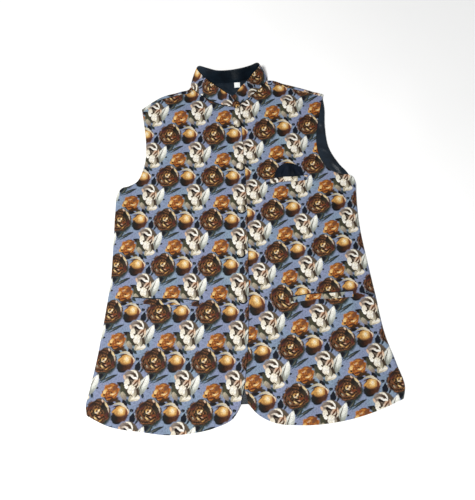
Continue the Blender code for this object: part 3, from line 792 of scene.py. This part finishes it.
class Painter:
    """Adds nodes to a material; each method gives back an output socket."""

    def __init__(self, name):
        self.material = bpy.data.materials.new(name)
        self.material.use_nodes = True
        self.nodes = self.material.node_tree.nodes
        self.links = self.material.node_tree.links
        self.shader = self.nodes["Principled BSDF"]

    def make(self, kind, values, output=0, **settings):
        node = set_up(self.nodes.new("ShaderNode" + kind), **settings)
        for key, value in values.items():
            if isinstance(value, bpy.types.NodeSocket):
                self.links.new(value, node.inputs[key])
            else:
                node.inputs[key].default_value = value
        return node.outputs[output]

    def math(self, operation, *values):
        return self.make("Math", dict(enumerate(values)), operation=operation)

    def times(self, a, b):
        return self.math("MULTIPLY", a, b)

    def times_plus(self, a, b, c):
        return self.math("MULTIPLY_ADD", a, b, c)

    def parts(self, vector):
        node = self.nodes.new("ShaderNodeSeparateXYZ")
        self.links.new(vector, node.inputs[0])
        return node.outputs

    def join(self, x, y, z):
        return self.make("CombineXYZ", {0: x, 1: y, 2: z})

    def repeated(self, value, middle):
        """How far a chart's value lies from the nearest repeat of a middle."""
        return self.math("WRAP", self.math("SUBTRACT", value, middle), 0.5, -0.5)

    def along(self, u, v, middle, turn, half):
        """How far (u, v) lies from a middle along a heading, in halves of a length."""
        a, b = math.cos(turn) / half, math.sin(turn) / half
        part = self.times_plus(v, b, -(middle[0] * a + middle[1] * b))
        return self.times_plus(u, a, part)

    def blend(self, share, low, high, way="MIX"):
        return self.make("Mix", {0: share, 6: low, 7: high}, 2, data_type="RGBA", blend_type=way)

    def ramp(self, value, start, end, low=0.0, high=1.0):
        return self.make("MapRange", {0: value, 1: start, 2: end, 3: low, 4: high},
                         interpolation_type="SMOOTHSTEP", clamp=False)

    def noise(self, vector, scale, detail, output=0, rough=0.5, fourth=None):
        values = {"Vector": vector, "Scale": scale, "Detail": detail, "Roughness": rough}
        if fourth is None:
            return self.make("TexNoise", values, output)
        return self.make("TexNoise", {**values, "W": fourth}, output, noise_dimensions="4D")

    def place_on_object(self):
        return self.make("TexCoord", {}, "Object")

    def surface(self, roughness, shine=0.5):
        self.shader.inputs["Roughness"].default_value = roughness
        self.shader.inputs["Specular IOR Level"].default_value = shine

    def bump(self, height, distance):
        bumped = self.make("Bump", {"Height": height, "Distance": distance, "Strength": 1.0})
        self.links.new(bumped, self.shader.inputs["Normal"])

    def colour(self, socket):
        self.links.new(socket, self.shader.inputs["Base Color"])


# The print, as strokes laid over each other: u, v of a stroke's middle, its length and width in
# hundredths of a repeat, heading in degrees (down from u), ink at its start, ink at its end,
# softness of its edge, bend.  It is an ellipse, or a lens where "leaf" follows; last is a taper.
SPRIG = [
    (10, -2, 20, 5, 20, "teal", "sky", 0.5, 0.2, "leaf"),
    (-4.5, -1, 18, 11, 22, "ink", "navy", 0.15, 0.1, "leaf", -0.3),
    (3, 0, 29, 7.2, -50, "teal", "leaf", 0.2, 0.12, "leaf"),
    (15, 2, 35, 7.2, -30, "teal", "pine", 0.2, -0.12, "leaf"),
    (3, 0, 21, 1.4, -50, "ash", "moss", 0.5, 0.12, "leaf"),
    (14, 2.2, 25, 1.4, -30, "ash", "moss", 0.5, -0.12, "leaf"),
    (3, 6, 13, 4.5, -30, "teal", "moss", 0.3, 0, "leaf"),
    (1, 9, 16, 3, -28, "teal", "blue", 0.4, 0, "leaf")]
MARKS = [
    (-30.5, -47.3, 19, 13, 22, "teal", "sky", 0.4, 0.1, "leaf", -0.4),
    (-30.5, -47.3, 16, 10, 22, "ink", "navy", 0.15, 0.1, "leaf", -0.4),
    (24, -38.4, 5, 4, 20, "navy", "ink", 0.3, 0, "round", 0.3),
    (15.5, -23, 10, 5, 75, "navy", "teal", 0.3, 0, "leaf", 0.3),
    (-17.6, -10.7, 16, 7, 50, "ink", "navy", 0.15, 0, "leaf", 0.2),
    (-11.5, -11.5, 18, 6, 48, "teal", "leaf", 0.3, 0.2, "leaf"),
    (-2.8, 4.4, 8, 6, -10, "pine", "navy", 0.25, 0, "round", 0.3),
    (-3.5, 17.5, 25, 3, -76, "mist", "sky", 0.5, 0.2, "leaf"),
    (5.5, 20, 22, 2.5, -104, "sky", "mist", 0.5, -0.2, "leaf"),
    (0, 18.5, 21, 11.5, -82, "navy", "navy", 0.15, 0, "leaf", 0.55),
    (8.8, 26, 13, 3.5, -62, "navy", "teal", 0.3, 0, "leaf")]
HALO = [
    (23.5, -36, 34, 14, -20, "moss", "olive", 0.6),
    (3, 5, 50, 46, 20, "bark", "leaf", 0.25),
    (2, -23.5, 26, 6, -6, "leaf", "moss", 0.5, -0.3)]
AMBER_BACK = [
    (1, 22.5, 18, 8, 4, "navy", "ink", 0.2, 0, "leaf"),
    (2, 14.5, 30, 11, 8, "walnut", "umber", 0.3, 0.2),
    (16, 18.5, 15, 7.5, 20, "umber", "olive", 0.3, 0, "leaf"),
    (1, -13.5, 19, 7, -6, "taupe", "olive", 0.4, -0.3),
    (17.5, 3, 18, 3.5, 98, "bone", "mist", 0.4, 0.2, "leaf")]
AMBER_FRONT = [
    (8, -7.5, 15, 8, -50, "copper", "rust", 0.6),
    (-11.5, -1, 11, 7, -60, "butter", "gold", 0.5, 0.1),
    (-14.5, 7, 9, 8, 0, "gold", "amber", 0.4),
    (-13, 6.2, 5, 4, 20, "walnut", "umber", 0.4),
    (0.5, 1.5, 17, 2.2, 28, "rust", "umber", 0.6, -0.4),
    (-5, 6, 12, 2, -52, "orange", "rust", 0.6, 0.3),
    (-1.5, -6.5, 8, 3.5, -30, "peach", "gold", 0.5, 0.2),
    (6, 4.5, 12, 4, -24, "butter", "peach", 0.6, 0.2),
    (10, 0, 12, 3, -50, "gold", "rust", 0.6, 0.2),
    (0, 11, 17, 3.5, 6, "brick", "umber", 0.5, -0.4)]
BROWN_FRONT = [
    (-12, -14, 20, 6, -35, "plum", "walnut", 0.6, -0.3),
    (-11, -9, 15, 4, -40, "brick", "umber", 0.6, 0.3),
    (13, -8, 19, 10, 50, "ink", "bark", 0.6),
    (19, 5, 13, 5, 100, "plum", "brick", 0.6, 0.3),
    (-7, 0, 11, 4, 80, "walnut", "olive", 0.5, 0.3),
    (0, 4.5, 14, 3, 8, "walnut", "ink", 0.5, -0.3),
    (-0.5, -5.5, 11, 3.5, 16, "gold", "copper", 0.5, -0.4),
    (-4, -0.5, 9, 3.4, 74, "butter", "copper", 0.4, 0.4),
    (3, -2, 8, 4, -38, "cream", "butter", 0.5, 0.3),
    (-0.5, 1.2, 7, 3, 20, "cream", "gold", 0.4, -0.3),
    (0, -2.2, 3.5, 2, 40, "umber", "rust", 0.5),
    (8.5, 6.5, 12, 5, -20, "brick", "rust", 0.5),
    (-3, 10, 15, 2.5, 20, "ink", "walnut", 0.5, 0.4),
    (10, 11.5, 13, 2.2, -42, "ink", "walnut", 0.5, 0.4),
    (5.5, 10, 6, 2.8, 5, "peach", "copper", 0.4, 0.2),
    (-1, 13, 12, 3, 30, "butter", "copper", 0.4, 0.3),
    (-11, 12, 10, 2.8, 35, "bone", "copper", 0.5, 0.3),
    (9, 15, 10, 2.8, -35, "gold", "copper", 0.5, 0.3),
    (-14, 3, 9, 2.8, 70, "copper", "rust", 0.5, 0.3),
    (8, -22.5, 6, 3.5, 60, "shell", "peach", 0.4),
    (15.5, -15.5, 19, 3.5, 54, "bone", "butter", 0.3, 0.25, "leaf"),
    (20.5, -7, 17, 3.2, 60, "bone", "shell", 0.3, -0.25, "leaf")]
BUD = [
    (-6.5, 12, 24, 19, 45, "pine", "ink", 0.2),
    (1, 0, 33, 31, -50, "chestnut", "umber", 0.15),
    (2, -16.5, 32, 5.5, 22, "bone", "cream", 0.25, -0.5),
    (15, -2, 11, 4, 78, "cream", "peach", 0.3, -0.2),
    (1, -11.5, 30, 4.5, 20, "chestnut", "walnut", 0.35, -0.45),
    (-8, -5.5, 17, 5, -18, "gold", "amber", 0.4, -0.3),
    (1.5, 0, 27, 24, 60, "gold", "copper", 0.3),
    (3, -2.5, 17, 13, 60, "butter", "gold", 0.7),
    (3, -3, 10, 6, 70, "cream", "butter", 0.8),
    (8, 11, 19, 9, -38, "copper", "plum", 0.6),
    (12.5, 4, 20, 4.5, 100, "rust", "plum", 0.5, -0.3),
    (-3, 12.5, 23, 12, 22, "ink", "chestnut", 0.75, 0.25),
    (-9.5, 10, 15, 7, 58, "pine", "walnut", 0.7, 0.2)]
WHITE_ROSE = [
    (-10.5, 18, 34, 17, 52, "olive", "moss", 0.4, 0.2, "leaf"),
    (7, 3, 54, 38, 80, "taupe", "bark", 0.15),
    (-12, 26.5, 19, 10, 58, "bone", "dusk", 0.3, 0.1),
    (9, 30, 23, 14, -12, "bone", "cream", 0.2, -0.2),
    (10, 30, 16, 6, -12, "cream", "white", 0.5, -0.4),
    (17, 12, 38, 8, 110, "umber", "bark", 0.3, 0, "leaf"),
    (25, 5, 42, 16.5, 107, "frost", "mist", 0.12, 0.12, "leaf"),
    (26.5, 0, 28, 10, 106, "white", "frost", 0.7, 0.1, "leaf"),
    (0, -11.5, 30, 22, 20, "dusk", "taupe", 0.3),
    (5, -14.5, 20, 2.5, 40, "umber", "bark", 0.5, -0.4),
    (7.8, -18.5, 24, 4.2, 47, "cream", "white", 0.3, -0.45),
    (-1.7, -12.3, 16, 4.8, 18, "shell", "white", 0.3, -0.2),
    (7, -7.5, 11, 4.2, 15, "white", "white", 0.3),
    (-13, -8.5, 10, 5, 65, "peach", "shell", 0.3),
    (-0.5, -6.8, 12, 5.5, 28, "ink", "walnut", 0.35, 0, "round", 0.4),
    (-7.8, 3.5, 21, 9.5, 86, "cream", "white", 0.2),
    (8.5, 3.5, 19, 12, -40, "umber", "copper", 0.35),
    (5.2, -0.5, 17, 4.2, -46, "shell", "peach", 0.3, -0.35),
    (16.5, 3, 20, 4.2, 100, "peach", "cream", 0.3, -0.3),
    (10, 4.5, 9, 2.8, -40, "cream", "shell", 0.5, 0.3),
    (-3, 8.5, 12, 3, 60, "umber", "taupe", 0.4),
    (-2.5, 1, 14, 2.2, 84, "umber", "bark", 0.5, -0.3),
    (11.5, 10, 17, 2.4, 118, "walnut", "bark", 0.5, -0.2),
    (2.5, 14.8, 19, 15, 65, "cream", "white", 0.2),
    (0, 18, 19, 7, 68, "white", "cream", 0.3, 0.25),
    (10, 19, 17, 5, 84, "dusk", "bone", 0.7),
    (0, 24.5, 16, 2, 12, "bark", "umber", 0.5, -0.4),
    (21, 6, 30, 1.8, 108, "bark", "taupe", 0.5, 0.1)]


AMBER_ROSE = {  # width and height in repeats, petals, rings, inks from foot to rim, frill, lit part
    "size": (0.34, 0.31), "petals": 6, "rings": 2.3,
    "inks": ("rust", "orange", "amber", "gold"), "ragged": 0.09, "glow": 1.3}
BROWN_ROSE = {
    "size": (0.53, 0.50), "petals": 9, "rings": 4.5,
    "inks": ("ink", "umber", "copper", "gold"), "ragged": 0.05, "glow": 0.55}
PRINT = [  # the motifs in the order they are laid down, each with its heart's u and v
    (HALO, 0.40, 0.585), (SPRIG, 0.42, -0.10), (MARKS, 0.10, 0.50), (AMBER_BACK, 0.625, 0.185),
    (AMBER_ROSE, 0.625, 0.18), (AMBER_FRONT, 0.625, 0.185), (BROWN_ROSE, 0.40, 0.585),
    (BROWN_FRONT, 0.40, 0.585), (BUD, 0.848, 0.59), (WHITE_ROSE, 0.0, 0.0)]
SEAM_SHIFT = (0.43, 0.19)  # how far the print jumps beyond a shoulder's seam
WOBBLE = 0.06  # in repeats, how unevenly it is drawn


def stroke(paint, ground, u, v, mid_u, mid_v, length, width, heading, first, last, soft,
           bend=0, shape="round", taper=0):
    """Paints one stroke over the ground."""
    turn = math.radians(heading)
    x = paint.along(u, v, (mid_u / 100, mid_v / 100), turn, length / 200)
    y = paint.along(u, v, (mid_u / 100, mid_v / 100), turn + math.pi / 2, width / 200)
    square = paint.times(x, x)
    if bend:
        y = paint.times_plus(square, bend * length / width, y)
    if taper:
        y = paint.times(y, paint.times_plus(x, taper, 1.0))
    if shape == "leaf":
        away = paint.math("ADD", square, paint.math("ABSOLUTE", y))
    else:
        away = paint.times_plus(y, y, square)
    tone = paint.blend(paint.ramp(x, -0.9, 0.9), INKS[first], INKS[last])
    return paint.blend(paint.ramp(away, 1.0 + soft, 1.0 - soft), ground, tone)


def ruffle(paint, ground, u, v, sway, curl, size, petals, rings, inks, ragged, glow):
    """A full rose: rings of petals, each dark at its foot and, within glow, light at its rim."""
    x, y = paint.times(u, 2 / size[0]), paint.times(v, 2 / size[1])
    radius = paint.math("SQRT", paint.times_plus(x, x, paint.times(y, y)))
    angle = paint.math("ARCTAN2", y, x)
    sway = paint.math("SINE", paint.times_plus(angle, 3.0, sway))
    out = paint.times_plus(sway, 0.3, paint.times(radius, rings))
    out = paint.times_plus(curl, 1.5, out)
    ring = paint.math("FLOOR", out)
    turn = paint.times_plus(angle, petals / (2 * math.pi), paint.times(ring, 0.37))
    side = paint.math("SUBTRACT", paint.math("FRACT", turn), 0.5)
    notch = paint.times(paint.times(side, side), 1.5)
    rise = paint.math("SUBTRACT", paint.math("FRACT", out), notch)
    foot, middle, rim, light = (INKS[ink] for ink in inks)
    tone = paint.blend(paint.ramp(rise, -0.1, 0.35), foot, middle)
    tone = paint.blend(paint.ramp(rise, 0.35, 0.75), tone, rim)
    lit = paint.times(paint.ramp(rise, 0.72, 1.0), paint.ramp(radius, glow + 0.25, glow - 0.25))
    tone = paint.blend(lit, tone, light)
    lobes = paint.math("SINE", paint.times(angle, float(petals)))
    edge = paint.times_plus(lobes, ragged, paint.times_plus(curl, 0.5, radius))
    return paint.blend(paint.ramp(edge, 1.30, 1.14), ground, tone)


def printed_cloth():
    """Rose print on lavender blue, on smooth suiting.

    The strokes are float sums on purpose: a vector in their long chain would fill Cycles' stack.
    """
    paint = Painter("rose_print")
    *chart, beyond = paint.parts(paint.make("Attribute", {}, "Vector", attribute_name="chart"))
    over_seam = paint.math("GREATER_THAN", beyond, 0.0)
    chart = [paint.times_plus(over_seam, jump, at) for jump, at in zip(SEAM_SHIFT, chart)]
    ring = [paint.math(way, paint.times(at, 2 * math.pi))
            for at in chart for way in ("COSINE", "SINE")]
    torus = paint.join(*ring[:3])
    wobble = paint.parts(paint.noise(torus, 1.7, 3.0, "Color", 0.6, fourth=ring[3]))
    patches = paint.noise(paint.join(*chart, 0.0), 1.3, 2.0)
    grain = paint.noise(torus, 7.0, 3.0, 0, 0.65, fourth=ring[3])
    chart = [paint.math("ADD", at, paint.times_plus(push, WOBBLE, -WOBBLE / 2))
             for at, push in zip(chart, wobble)]

    tone = paint.blend(paint.ramp(patches, 0.35, 0.62), INKS["blue"], INKS["lavender"])
    tone = paint.blend(paint.ramp(patches, 0.44, 0.28), tone, INKS["sky"])
    for motif, *heart in PRINT:
        near = [paint.repeated(at, middle) for at, middle in zip(chart, heart)]
        if isinstance(motif, dict):
            tone = ruffle(paint, tone, *near, heart[0] * 9, grain, **motif)
        else:
            for row in motif:
                tone = stroke(paint, tone, *near, *row)
    shade = paint.ramp(grain, 0.3, 0.7, 0.70, 1.22)
    paint.colour(paint.blend(1.0, tone, shade, way="MULTIPLY"))
    weave(paint, 0.00006)
    paint.surface(0.62, 0.12)
    return paint.material


def weave(paint, depth, size=0.45):
    """A plain weave in relief, its threads size millimetres apart."""
    spot = paint.place_on_object()
    x, y, z = paint.parts(spot)
    turns = math.pi / (size * MM)
    warp = paint.math("SINE", paint.times(x, turns))
    weft = paint.math("SINE", paint.times(paint.math("ADD", y, z), turns))
    threads = paint.times(warp, weft)
    paint.bump(paint.math("ADD", threads, paint.noise(spot, 420.0, 2.0)), depth)


PLAIN_CLOTHS = {  # colour, its darker tone, roughness, shine, depth and size of the weave
    "navy_satin": ((22, 34, 45), (11, 18, 26), 0.40, 0.30, 0.00004, 0.5),
    # Navy silk of the pocket square; the dark rolls below the buttons use it as painted shadow.
    "navy_silk_and_painted_shadow": ((10, 20, 35), (4, 9, 16), 0.6, 0.10, 0.00007, 0.6),
    "white_tape": ((248, 250, 248), (226, 230, 228), 0.7, 0.12, 0.00006, 0.5)}


def plain_cloth(name):
    """Cloth of one dye, a little uneven, with a weave."""
    colour, dark, roughness, shine, depth, size = PLAIN_CLOTHS[name]
    paint = Painter(name)
    spot = paint.place_on_object()
    uneven = paint.times_plus(paint.noise(spot, 900.0, 2.0), 0.5, paint.noise(spot, 38.0, 4.0))
    paint.colour(paint.blend(paint.ramp(uneven, 0.5, 1.0), linear(*dark), linear(*colour)))
    weave(paint, depth, size)
    paint.surface(roughness, shine)
    return paint.material


# ---- floor, light and camera

AIM = Vector((-0.00155, -0.0304, 0.0))  # the photo's camera, in the frame's metres
EYE = Vector((-0.0121, -0.2320, 0.9232))
UPWARD = Vector((0.0523, 0.9986, 0.0))
LENS = 32.4
SENSOR = 36.0
FLOOR_SIZE = 3.0
SKY = (0.96, 0.98, 1.0, 1.0)
SKY_STRENGTH = 0.33
LAMPS = {  # place, width, watts, colour
    "key_light": ((-0.9, -0.5, 2.1), 0.5, 58.0, (1.0, 0.99, 0.97)),
    "fill_light": ((0.7, -0.6, 1.3), 0.9, 2.0, (0.95, 0.97, 1.0))}


def looking(thing, eye, upward):
    """Points a camera or a light's -Z from eye to the aim."""
    away = (eye - AIM).normalized()
    right = upward.cross(away).normalized()
    axes = Matrix((right, away.cross(right), away)).transposed()
    thing.matrix_world = Matrix.Translation(eye) @ axes.to_4x4()


def camera():
    lens = set_up(bpy.data.cameras.new("camera"), lens=LENS, sensor_width=SENSOR)
    thing = link("camera", lens)
    looking(thing, EYE, UPWARD)
    bpy.context.scene.camera = thing


def studio():
    bpy.context.scene.view_settings.view_transform = "Standard"
    world = bpy.data.worlds.new("studio")
    bpy.context.scene.world = world
    world.use_nodes = True
    background = world.node_tree.nodes["Background"]
    background.inputs["Color"].default_value = SKY
    background.inputs["Strength"].default_value = SKY_STRENGTH
    for name, (eye, size, watts, colour) in LAMPS.items():
        light = bpy.data.lights.new(name, "AREA")
        set_up(light, shape="DISK", size=size, energy=watts, color=colour)
        looking(link(name, light), Vector(eye), Vector((0.0, 1.0, 0.0)))


def floor():
    paint = Painter("pale_floor")
    blotch = paint.noise(paint.place_on_object(), 3.0, 2.0)
    paint.colour(paint.blend(paint.ramp(blotch, 0.3, 0.7), (0.90, 0.90, 0.90, 1), (0.93, 0.93, 0.93, 1)))
    paint.surface(0.9)
    half = FLOOR_SIZE / 2
    mesh = bpy.data.meshes.new("floor")
    corners = [(-half, -half, 0), (half, -half, 0), (half, half, 0), (-half, half, 0)]
    mesh.from_pydata(corners, [], [(0, 1, 2, 3)])
    mesh.materials.append(paint.material)
    ground = link("floor", mesh)
    ground.location.z = -0.0001


# ---- the jacket

def build():
    printed = printed_cloth()
    navy, silk, white = (plain_cloth(name) for name in PLAIN_CLOTHS)
    faced = [printed, navy]
    back("back", 0.0, BACK_WALL, 0.0, printed)
    back("back_lining", BACK_WALL + GAP, LINING_WALL, LINING_RIPPLE, navy)
    front("front_left", LEFT, left_top, faced)
    front("front_right", RIGHT, right_top, faced)
    collar("collar", GAP / 2 + COLLAR_WALL, COLLAR_WALL, [printed, printed, navy])
    collar("collar_lining", -GAP / 2, LINING_WALL, [navy, navy])
    welt("chest_welt", CHEST_MOUTH, CHEST_WELT_HEIGHT, left_top, SQUARE_WALL + GAP, faced)
    welt("pocket_welt_left", LEFT_MOUTH, POCKET_WELT_HEIGHT, left_top, MOUTH_GAPE, faced)
    welt("pocket_welt_right", RIGHT_MOUTH, POCKET_WELT_HEIGHT, right_top, MOUTH_GAPE, faced)
    pocket_square(silk)
    for number, (x, y) in enumerate(BUTTONS, 1):
        # The buttons' second material is the painted shadow roll below each.
        button(number, x, y, [printed, silk])
    label(white)


build()
floor()
studio()
camera()
